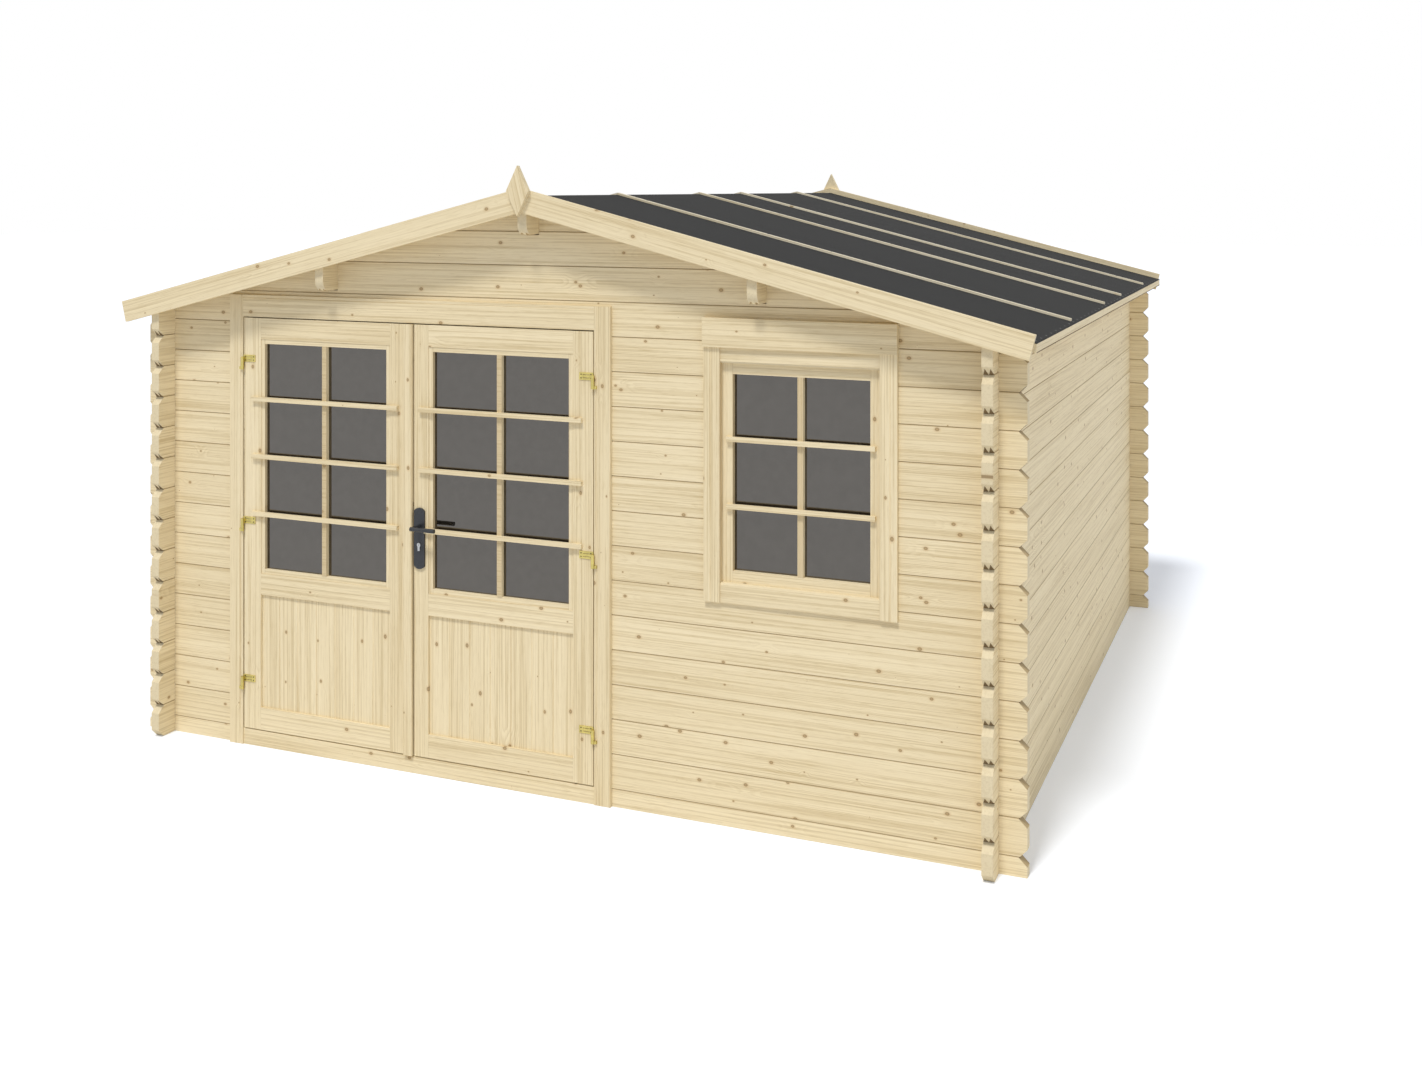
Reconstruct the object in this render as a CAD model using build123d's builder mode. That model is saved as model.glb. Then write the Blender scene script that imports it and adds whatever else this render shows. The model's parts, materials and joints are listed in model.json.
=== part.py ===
from build123d import *
import math
import os

# Garden shed of interlocking logs with a double glazed door, one window and a felted saddle roof.
# Sizes are in millimetres. X runs to the right along the front, Y to the back and Z up.
# The origin is the middle of the footprint, on the ground.

# Logs
log_height = 135
log_thickness = 40
log_end_chamfer = 30
log_end_reach = 100
log_gap = 0.3
tongue_height = 12
joint_line_height = 4
notch_clearance = 0.3

# Walls
house_width = 3700
house_depth = 3700
wall_rows = 14

# Roof
roof_pitch = 14
roof_side_overhang = 150
roof_end_overhang = 100
deck_thickness = 18
felt_thickness = 3
roof_clearance = 0.3
eave_board_thickness = 15
eave_board_height = 32
purlin_width = 40
purlin_height = 135
side_purlin_x = 962
purlin_end_radius = 45
batten_width = 22
batten_thickness = 9
batten_eave_setback = 20
batten_rows = (-1090, -160, 410, 1320)
bargeboard_width = 92
bargeboard_thickness = 20
bargeboard_rise = 29
finial_width = 98
finial_height = 198
finial_thickness = 20
finial_top_rise = 88

# Floor
bearer_width = 45
bearer_height = 42
bearer_count = 7
floor_board_thickness = 18
floor_edge_gap = 5

# Door frame, a U section that sits astride the cut ends of the logs
door_centre_x = -576
door_opening_width = 1696
door_opening_height = 1780
door_sill_height = 68
door_sill_setback = 5
edge_chamfer = 3
casing_width = 70
casing_thickness = 15
head_casing_height = 94
casing_groove_width = 4
door_groove_place = 12
jamb_thickness = 40
frame_clearance = 0.5
stop_depth = 12
stop_thickness = 22

# Door leaves
leaf_thickness = 40
leaf_setback = 3
leaf_gap = 5
meeting_gap = 6
meeting_offset = 19
hinge_stile_width = 88
left_meeting_stile_width = 112
right_meeting_stile_width = 68
top_rail_width = 90
middle_rail_width = 90
bottom_rail_width = 96
panel_height = 486
joint_gap = 0.3
bead_width = 20
bead_setback = 3
glass_thickness = 4
panel_thickness = 14
panel_setback = 10
panel_board_pitch = 95.5
panel_groove_width = 5
meeting_strip_width = 42
meeting_strip_thickness = 12

# Glazing bars
bar_width = 18
bar_thickness = 15
bar_overlap = 62
pane_rows = 4
upright_bar_width = 22

# Sides that stand for a circle on small turned parts
round_sides = 12

# Hinges
barrel_diameter = 14
barrel_length = 42
barrel_clearance = 0.3
pin_diameter = 8
pin_clearance = 0.1
barrel_drop = 8
hinge_foot_height = 12
hinge_foot_length = 16
hinge_plate_length = 62
hinge_plate_height = 29
hinge_plate_thickness = 3
hinge_slot_length = 32
hinge_slot_height = 2.5
hinge_slot_spacing = 12
hinge_heights = (288, 970, 1668)

# Handle and lock
handle_plate_width = 50
handle_plate_height = 250
handle_plate_thickness = 8
handle_plate_centre_z = 968
handle_plate_edge = 3
handle_plate_shoulder = 13
bar_plate_gap = 1
lever_height = 1016
lever_diameter = 18
lever_neck_reach = 49
lever_length = 104
spindle_width = 10
lever_clearance = 0.3
spindle_hole_diameter = 22
lock_drop = 74
lock_width = 17
lock_height = 33
lock_foot_width = 10
lock_reach = 3
lock_clearance = 0.3

# Window
window_centre_x = 1111
window_clear_width = 622
rows_below_window = 6
window_casing_width = 66
window_groove_place = 27
window_rail_setback = 4
window_rail_bevel = 7
window_casing_lap = 34
window_sill_rise = 40
window_top_gap = 18
window_head_casing_height = 60
window_jamb_thickness = 28
header_overlap = 2
header_height = 110
header_thickness = 26
sash_gap = 0.3
sash_width = 42
pane_lap = 10.5
sash_thickness = 40
sash_setback = 12
window_glass_depth = 22
window_bar_overlap = 22
window_pane_rows = 3

# Levels and planes worked out from the sizes above
half_width = house_width / 2
half_depth = house_depth / 2
wall_height = wall_rows * log_height
slope = math.tan(math.radians(roof_pitch))
plumb = 1 / math.cos(math.radians(roof_pitch))
ridge_height = wall_height + half_width * slope
roof_half_width = half_width + roof_side_overhang
roof_half_depth = half_depth + roof_end_overhang
deck_rise = deck_thickness * plumb
felt_rise = deck_rise + felt_thickness * plumb
front_face = -half_depth
front_centre = front_face + log_thickness / 2
front_inside = front_face + log_thickness
casing_front = front_face - casing_thickness - frame_clearance
casing_back = front_inside + casing_thickness + frame_clearance
floor_top = bearer_height + floor_board_thickness

os.makedirs("parts", exist_ok=True)


def write_piece(builder, name):
    """Labels a finished piece and writes it to its own file."""
    builder.part.label = name
    export_step(builder.part, "parts/" + name + ".step")


def block(x_range, y_range, z_range, mode=Mode.ADD):
    """Box between two values along each axis."""
    size = [high - low for low, high in (x_range, y_range, z_range)]
    middle = [(low + high) / 2 for low, high in (x_range, y_range, z_range)]
    with Locations(tuple(middle)):
        Box(*size, mode=mode)


def roof_under(x):
    """Height of the roof's underside over a place across the house."""
    return ridge_height - abs(x) * slope


def lay_logs(plane, across, bottoms, height, length, grooved=True):
    """Logs of one height side by side, with two pointed tongues above and two grooves below.

    The plane is square to the logs, and each log stands on its own bottom height. The grooves
    flare towards both faces of the wall, where they show as a joint line. Logs on the ground
    have a flat underside instead."""
    half = log_thickness / 2
    top = height - log_gap
    tongues = (
        (half, top),
        (half / 2, top + tongue_height),
        (0, top),
        (-half / 2, top + tongue_height),
        (-half, top),
    )
    grooves = (
        (-half, joint_line_height),
        (-half / 2, tongue_height),
        (0, 0),
        (half / 2, tongue_height),
        (half, joint_line_height),
    )
    underside = grooves if grooved else ((-half, 0), (half, 0))
    with BuildSketch(plane) as sections:
        with Locations(*[(across, z) for z in bottoms]):
            Polygon(*underside, *tongues, align=None)
    extrude(sections.sketch, amount=length)


def cut_corners(plane, joints, half_length, ends):
    """Saddle notches and chamfered log ends, cut square to the wall, centred on the joints."""
    notch = log_thickness + 2 * notch_clearance
    corner = half_length - log_thickness / 2
    tip = half_length + log_end_reach
    diamond = log_end_chamfer * math.sqrt(2)
    with BuildSketch(plane) as cuts:
        with Locations(*[(end * corner, z - log_gap / 2) for end in ends for z in joints]):
            Rectangle(notch, log_height / 2 + log_gap)
        with Locations(*[(end * tip, z) for end in ends for z in joints]):
            Rectangle(diamond, diamond, rotation=45)
    extrude(cuts.sketch, amount=log_thickness, both=True, mode=Mode.SUBTRACT)


# Space below the roof deck, which trims the gable logs and the purlins
with BuildPart() as under_roof:
    with BuildSketch(Plane.XZ.offset(roof_half_depth)):
        with BuildLine():
            Polyline(
                (-roof_half_width, -log_height),
                (roof_half_width, -log_height),
                (roof_half_width, roof_under(roof_half_width) - roof_clearance),
                (0, ridge_height - roof_clearance),
                (-roof_half_width, roof_under(roof_half_width) - roof_clearance),
                close=True,
            )
        make_face()
    extrude(amount=-2 * roof_half_depth)

# Purlins with the logs' grooves below, round at the lower corners of their ends and planed to the roof
purlin_bottoms = {
    "ridge_purlin": (0, ridge_height - purlin_height),
    "left_purlin": (-side_purlin_x, roof_under(side_purlin_x + purlin_width / 2) - purlin_height),
    "right_purlin": (side_purlin_x, roof_under(side_purlin_x + purlin_width / 2) - purlin_height),
}
for name, (x, bottom) in purlin_bottoms.items():
    with BuildPart() as purlin:
        lay_logs(Plane.XZ.offset(roof_half_depth), x, [bottom], 2 * purlin_height, -2 * roof_half_depth)
        with BuildSketch(Plane.YZ.offset(x - purlin_width / 2)) as side_view:
            with Locations((0, bottom)):
                Rectangle(2 * roof_half_depth, 2 * purlin_height, align=(Align.CENTER, Align.MIN))
            fillet(side_view.vertices().group_by(Axis.Y)[0], purlin_end_radius)
        extrude(side_view.sketch, amount=purlin_width, mode=Mode.INTERSECT)
        add(under_roof.part, mode=Mode.INTERSECT)
    write_piece(purlin, name)

# Channels through the gables for the purlins
with BuildPart() as purlin_channels:
    for x, bottom in purlin_bottoms.values():
        block(
            (x - purlin_width / 2 - notch_clearance, x + purlin_width / 2 + notch_clearance),
            (-roof_half_depth, roof_half_depth),
            (bottom - notch_clearance, bottom + 2 * purlin_height),
        )

# Side walls: full logs from the ground up, the top one planed to the roof
side_joints = [row * log_height for row in range(wall_rows + 1)]
side_end = half_depth + log_end_reach
for name, side in (("left_wall_logs", -1), ("right_wall_logs", 1)):
    x_centre = side * (half_width - log_thickness / 2)
    with BuildPart() as top_log:
        lay_logs(Plane.XZ.offset(side_end), x_centre, side_joints[-2:-1], 2 * log_height, -2 * side_end)
        add(under_roof.part, mode=Mode.INTERSECT)
    with BuildPart() as side_wall:
        lay_logs(
            Plane.XZ.offset(side_end), x_centre, side_joints[:1], log_height, -2 * side_end, grooved=False
        )
        lay_logs(Plane.XZ.offset(side_end), x_centre, side_joints[1:-2], log_height, -2 * side_end)
        add(top_log.part)
        cut_corners(Plane.YZ.offset(x_centre), side_joints, half_depth, (-1, 1))
    write_piece(side_wall, name)

# Front and back rows: a half log on the ground, then full logs half a row off the side logs
log_end = half_width + log_end_reach
row_bottoms = [(row - 0.5) * log_height for row in range(1, wall_rows)]
lintel_bottom = (wall_rows - 0.5) * log_height
gable_rows = math.ceil((ridge_height - lintel_bottom) / log_height) - 1
gable_bottoms = [lintel_bottom + row * log_height for row in range(1, gable_rows + 1)]
gable_runs = []
for bottom in gable_bottoms:
    height_beside_purlin = roof_under(side_purlin_x + purlin_width / 2) - bottom
    run_end = side_purlin_x if height_beside_purlin < log_height / 4 else log_end
    gable_runs.append((bottom, run_end))
row_joints = [(row + 0.5) * log_height for row in range(wall_rows)]
lintel_joints = [lintel_bottom, lintel_bottom + log_height]

# Back wall
back_centre = half_depth - log_thickness / 2
back_plane = Plane.XZ.offset(-back_centre)
log_plane = Plane.YZ.offset(-log_end)
with BuildPart() as back_wall:
    lay_logs(log_plane, back_centre, [0], log_height / 2, 2 * log_end, grooved=False)
    lay_logs(log_plane, back_centre, row_bottoms, log_height, 2 * log_end)
    cut_corners(back_plane, row_joints, half_width, (-1, 1))
write_piece(back_wall, "back_wall_logs")

with BuildPart() as back_gable:
    for bottom, run_end in [(lintel_bottom, log_end)] + gable_runs:
        lay_logs(Plane.YZ.offset(-run_end), back_centre, [bottom], log_height, 2 * run_end)
    cut_corners(back_plane, lintel_joints, half_width, (-1, 1))
    add(under_roof.part, mode=Mode.INTERSECT)
    add(purlin_channels.part, mode=Mode.SUBTRACT)
write_piece(back_gable, "back_gable_logs")

# Openings cut through the front wall
door_left = door_centre_x - door_opening_width / 2
door_right = door_centre_x + door_opening_width / 2
door_top = door_sill_height + door_opening_height
cut_left = door_left - jamb_thickness - frame_clearance
cut_right = door_right + jamb_thickness + frame_clearance
cut_top = door_top + jamb_thickness + frame_clearance
window_left = window_centre_x - window_clear_width / 2
window_right = window_centre_x + window_clear_width / 2
window_cut_left = window_left - window_jamb_thickness - frame_clearance
window_cut_right = window_right + window_jamb_thickness + frame_clearance
window_cut_bottom = (rows_below_window + 0.5) * log_height
window_cut_top = lintel_bottom

# Front wall: name, log height, bottoms, joints, left end, right end and the ends with a corner
low_rows = row_bottoms[:rows_below_window]
high_rows = row_bottoms[rows_below_window:]
low_joints = row_joints[: rows_below_window + 1]
high_joints = row_joints[rows_below_window:]
front_plane = Plane.XZ.offset(-front_centre)
front_runs = (
    ("front_wall_left_logs", row_bottoms, row_joints, -log_end, cut_left, (-1,)),
    ("front_wall_below_window_logs", low_rows, low_joints, cut_right, log_end, (1,)),
    ("front_wall_middle_logs", high_rows, high_joints, cut_right, window_cut_left, ()),
    ("front_wall_corner_logs", high_rows, high_joints, window_cut_right, log_end, (1,)),
)
for name, bottoms, joints, x_from, x_to, ends in front_runs:
    with BuildPart() as front_logs:
        lay_logs(Plane.YZ.offset(x_from), front_centre, bottoms, log_height, x_to - x_from)
        if ends:
            cut_corners(front_plane, joints, half_width, ends)
        block(
            (window_cut_left, window_cut_right),
            (front_face, front_inside),
            (window_cut_bottom - log_gap, window_cut_top),
            mode=Mode.SUBTRACT,
        )
    write_piece(front_logs, name)

with BuildPart() as base_logs:
    for x_from, x_to in ((-log_end, cut_left), (cut_right, log_end)):
        lay_logs(
            Plane.YZ.offset(x_from), front_centre, [0], log_height / 2, x_to - x_from, grooved=False
        )
    cut_corners(front_plane, row_joints[:1], half_width, (-1, 1))
write_piece(base_logs, "front_base_logs")

# Logs over the openings, cut round the door frame, the purlins and the roof
upper_runs = (
    ("front_lintel_log", [(lintel_bottom, log_end)]),
    ("front_gable_logs", gable_runs),
)
for name, runs in upper_runs:
    with BuildPart() as upper_logs:
        for bottom, run_end in runs:
            lay_logs(Plane.YZ.offset(-run_end), front_centre, [bottom], log_height, 2 * run_end)
        cut_corners(front_plane, lintel_joints, half_width, (-1, 1))
        block(
            (cut_left, cut_right),
            (front_face - log_thickness, front_inside + log_thickness),
            (-log_height, cut_top),
            mode=Mode.SUBTRACT,
        )
        add(under_roof.part, mode=Mode.INTERSECT)
        add(purlin_channels.part, mode=Mode.SUBTRACT)
    write_piece(upper_logs, name)

# Roof deck, felt, eave boards and battens of each slope


def roof_layer(side, x_near, x_far, low_rise, high_rise, y_from, y_to):
    """Layer that follows one slope of the roof, between two rises above its underside."""
    with BuildPart() as layer:
        with BuildSketch(Plane.XZ.offset(-y_from)):
            with BuildLine():
                Polyline(
                    (side * x_near, roof_under(x_near) + low_rise),
                    (side * x_far, roof_under(x_far) + low_rise),
                    (side * x_far, roof_under(x_far) + high_rise),
                    (side * x_near, roof_under(x_near) + high_rise),
                    close=True,
                )
            make_face()
        extrude(amount=y_from - y_to)
    return layer


deck_eave = roof_half_width - eave_board_thickness - roof_clearance
for word, side in (("left", -1), ("right", 1)):
    deck = roof_layer(
        side, roof_clearance, deck_eave, 0, deck_rise, -roof_half_depth, roof_half_depth
    )
    write_piece(deck, "roof_deck_" + word)
    felt = roof_layer(
        side, roof_clearance, roof_half_width, deck_rise, felt_rise, -roof_half_depth, roof_half_depth
    )
    write_piece(felt, "roof_felt_" + word)
    eave_board = roof_layer(
        side,
        roof_half_width - eave_board_thickness,
        roof_half_width,
        deck_rise - eave_board_height,
        deck_rise,
        -roof_half_depth,
        roof_half_depth,
    )
    write_piece(eave_board, "eave_board_" + word)
    batten_parts = [
        roof_layer(
            side,
            roof_clearance,
            roof_half_width - batten_eave_setback,
            felt_rise,
            felt_rise + batten_thickness * plumb,
            y - batten_width / 2,
            y + batten_width / 2,
        ).part
        for y in batten_rows
    ]
    with BuildPart() as battens:
        add(batten_parts)
    write_piece(battens, "roof_battens_" + word)

# Bargeboards with square ends, mitred at the ridge, and a diamond finial over each mitre
board_rise = felt_rise + bargeboard_rise
board_drop = board_rise - bargeboard_width * plumb
end_run = bargeboard_width * math.sin(math.radians(roof_pitch))
for front_or_back, facing in (("front", -1), ("back", 1)):
    inner_y = facing * roof_half_depth
    for word, side in (("left", -1), ("right", 1)):
        with BuildPart() as bargeboard:
            with BuildSketch(Plane.XZ.offset(-inner_y)):
                with BuildLine():
                    Polyline(
                        (side * roof_clearance, roof_under(roof_clearance) + board_rise),
                        (side * roof_half_width, roof_under(roof_half_width) + board_rise),
                        (
                            side * (roof_half_width - end_run),
                            roof_under(roof_half_width - end_run) + board_drop,
                        ),
                        (side * roof_clearance, roof_under(roof_clearance) + board_drop),
                        close=True,
                    )
                make_face()
            extrude(amount=-facing * bargeboard_thickness)
        write_piece(bargeboard, front_or_back + "_bargeboard_" + word)
    finial_top = ridge_height + board_rise + finial_top_rise
    finial_middle = finial_top - finial_height / 2
    with BuildPart() as finial:
        with BuildSketch(Plane.XZ.offset(-inner_y - facing * bargeboard_thickness)):
            with BuildLine():
                Polyline(
                    (0, finial_top),
                    (finial_width / 2, finial_middle),
                    (0, finial_top - finial_height),
                    (-finial_width / 2, finial_middle),
                    close=True,
                )
            make_face()
        extrude(amount=-facing * finial_thickness)
    write_piece(finial, front_or_back + "_finial")

# Floor
floor_half_width = half_width - log_thickness - floor_edge_gap
floor_half_depth = half_depth - log_thickness - floor_edge_gap
bearer_pitch = (2 * floor_half_width - bearer_width) / (bearer_count - 1)
with BuildPart() as bearers:
    with Locations((0, 0, bearer_height / 2)):
        with GridLocations(bearer_pitch, 1, bearer_count, 1):
            Box(bearer_width, 2 * floor_half_depth, bearer_height)
write_piece(bearers, "floor_bearers")

with BuildPart() as floor_deck:
    block(
        (-floor_half_width, floor_half_width),
        (-floor_half_depth, floor_half_depth),
        (bearer_height, floor_top),
    )
write_piece(floor_deck, "floor_deck")

# Door frame posts: casing outside and inside, a jamb through the wall and a stop behind the leaf
stop_front = casing_front + leaf_setback + leaf_thickness + leaf_gap
stop_back = min(stop_front + stop_thickness, casing_back)
for word, side, edge in (("left", -1, door_left), ("right", 1, door_right)):
    post_top = door_top + head_casing_height
    jamb_edge = edge + side * jamb_thickness
    casing_edge = edge + side * casing_width
    groove_edge = edge + side * door_groove_place
    groove_half = side * casing_groove_width / 2
    stop_edge = edge - side * stop_depth
    inner_casing_front = front_inside + frame_clearance
    with BuildPart() as post:
        with BuildSketch(Plane.XY):
            with BuildLine():
                Polyline(
                    (edge, casing_front),
                    (groove_edge - groove_half, casing_front),
                    (groove_edge, casing_front + casing_groove_width / 2),
                    (groove_edge + groove_half, casing_front),
                    (casing_edge, casing_front),
                    (casing_edge, casing_front + casing_thickness),
                    (jamb_edge, casing_front + casing_thickness),
                    (jamb_edge, inner_casing_front),
                    (casing_edge, inner_casing_front),
                    (casing_edge, casing_back),
                    (edge, casing_back),
                    (edge, stop_back),
                    (stop_edge, stop_back),
                    (stop_edge, stop_front),
                    (edge, stop_front),
                    close=True,
                )
            make_face()
        extrude(amount=post_top)
        jamb_reach = sorted((stop_edge, casing_edge))
        block(
            jamb_reach,
            (casing_front + casing_thickness, inner_casing_front),
            (cut_top - frame_clearance, post_top),
            mode=Mode.SUBTRACT,
        )
        block(
            jamb_reach,
            (front_inside, casing_back),
            (0, floor_top + frame_clearance),
            mode=Mode.SUBTRACT,
        )
        block(
            sorted((edge, stop_edge)),
            (stop_front, casing_back),
            (0, door_sill_height + frame_clearance),
            mode=Mode.SUBTRACT,
        )
        block(
            sorted((edge, stop_edge)),
            (stop_front, casing_back),
            (door_top - frame_clearance, post_top),
            mode=Mode.SUBTRACT,
        )
    write_piece(post, "door_post_" + word)

# Door head and sill, between the posts
head_left = door_left + joint_gap
head_right = door_right - joint_gap
head_groove_z = door_top + head_casing_height - door_groove_place
with BuildPart() as door_head:
    with BuildSketch(Plane.YZ.offset(head_left)):
        with BuildLine():
            Polyline(
                (casing_front, door_top),
                (stop_front, door_top),
                (stop_front, door_top - stop_depth),
                (stop_back, door_top - stop_depth),
                (stop_back, door_top),
                (casing_back, door_top),
                (casing_back, door_top + head_casing_height),
                (front_inside + frame_clearance, door_top + head_casing_height),
                (front_inside + frame_clearance, door_top + jamb_thickness),
                (casing_front + casing_thickness, door_top + jamb_thickness),
                (casing_front + casing_thickness, door_top + head_casing_height),
                (casing_front, door_top + head_casing_height),
                (casing_front, head_groove_z + casing_groove_width / 2),
                (casing_front + casing_groove_width / 2, head_groove_z),
                (casing_front, head_groove_z - casing_groove_width / 2),
                close=True,
            )
        make_face()
    extrude(amount=head_right - head_left)
    for side, edge in ((-1, door_left), (1, door_right)):
        block(
            sorted((edge, edge - side * (stop_depth + joint_gap))),
            (stop_front - joint_gap, stop_back + joint_gap),
            (door_top - stop_depth - joint_gap, door_top - frame_clearance + joint_gap),
            mode=Mode.SUBTRACT,
        )
write_piece(door_head, "door_head")

with BuildPart() as door_sill:
    block(
        (head_left, head_right),
        (casing_front + door_sill_setback, front_inside),
        (0, door_sill_height),
    )
    chamfer(door_sill.edges().filter_by(Axis.X).group_by(Axis.Z)[-1], edge_chamfer)
write_piece(door_sill, "door_sill")

# Door leaves
leaf_front = casing_front + leaf_setback
leaf_back = leaf_front + leaf_thickness
leaf_bottom = door_sill_height + leaf_gap
leaf_top = door_top - leaf_gap
meeting_x = door_centre_x + meeting_offset
panel_bottom = leaf_bottom + bottom_rail_width
panel_top = panel_bottom + panel_height
glazing_bottom = panel_top + middle_rail_width
glazing_top = leaf_top - top_rail_width
glass_front = (leaf_front + leaf_back - glass_thickness) / 2
glass_back = glass_front + glass_thickness
plate_left = meeting_x + meeting_gap / 2 + handle_plate_edge
plate_right = plate_left + handle_plate_width
plate_centre = (plate_left + plate_right) / 2
lock_centre_z = lever_height - lock_drop


def lock_outline(extra):
    """Outline of a profile lock cylinder: a barrel over a narrower foot."""
    with BuildSketch() as outline:
        RegularPolygon(lock_width / 2 + extra, round_sides)
        with Locations((0, lock_width / 2 - lock_height - extra)):
            Rectangle(
                lock_foot_width + 2 * extra,
                lock_height - lock_width / 2 + extra,
                align=(Align.CENTER, Align.MIN),
            )
    return outline.sketch


def plate_sketch():
    """Outline of a handle plate, arched at both ends, with its spindle and lock holes."""
    half_plate = handle_plate_width / 2
    shoulder = handle_plate_height / 2 - handle_plate_shoulder
    tip = handle_plate_height / 2
    with BuildSketch() as outline:
        with BuildLine(Location((0, handle_plate_centre_z))):
            ThreePointArc((half_plate, shoulder), (0, tip), (-half_plate, shoulder))
            Line((-half_plate, shoulder), (-half_plate, -shoulder))
            ThreePointArc((-half_plate, -shoulder), (0, -tip), (half_plate, -shoulder))
            Line((half_plate, -shoulder), (half_plate, shoulder))
        make_face()
        with Locations((0, lever_height)):
            RegularPolygon(
                lever_diameter / 2 + lever_clearance, round_sides, major_radius=False, mode=Mode.SUBTRACT
            )
        with Locations((0, lock_centre_z)):
            add(lock_outline(lock_clearance), mode=Mode.SUBTRACT)
    return outline.sketch


def bar_heights(low, high, rows):
    """Centre heights of the level bars that part a pane into equal rows."""
    pane = (high - low - (rows - 1) * bar_width) / rows
    return [low + (row + 1) * pane + (row + 0.5) * bar_width for row in range(rows - 1)]


lock_sketch = lock_outline(0)
lock_hole_sketch = lock_outline(lock_clearance)
handle_sketch = plate_sketch()

leaves = {
    "left": {
        "hinge_x": door_left + leaf_gap,
        "meeting_x": meeting_x - meeting_gap / 2,
        "meeting_stile": left_meeting_stile_width,
        "side": 1,
        "pin_x": door_left + leaf_gap / 2,
    },
    "right": {
        "hinge_x": door_right - leaf_gap,
        "meeting_x": meeting_x + meeting_gap / 2,
        "meeting_stile": right_meeting_stile_width,
        "side": -1,
        "pin_x": door_right - leaf_gap / 2,
    },
}
axis_y = casing_front - barrel_diameter / 2 - barrel_clearance
frame_pin_parts = []

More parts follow.
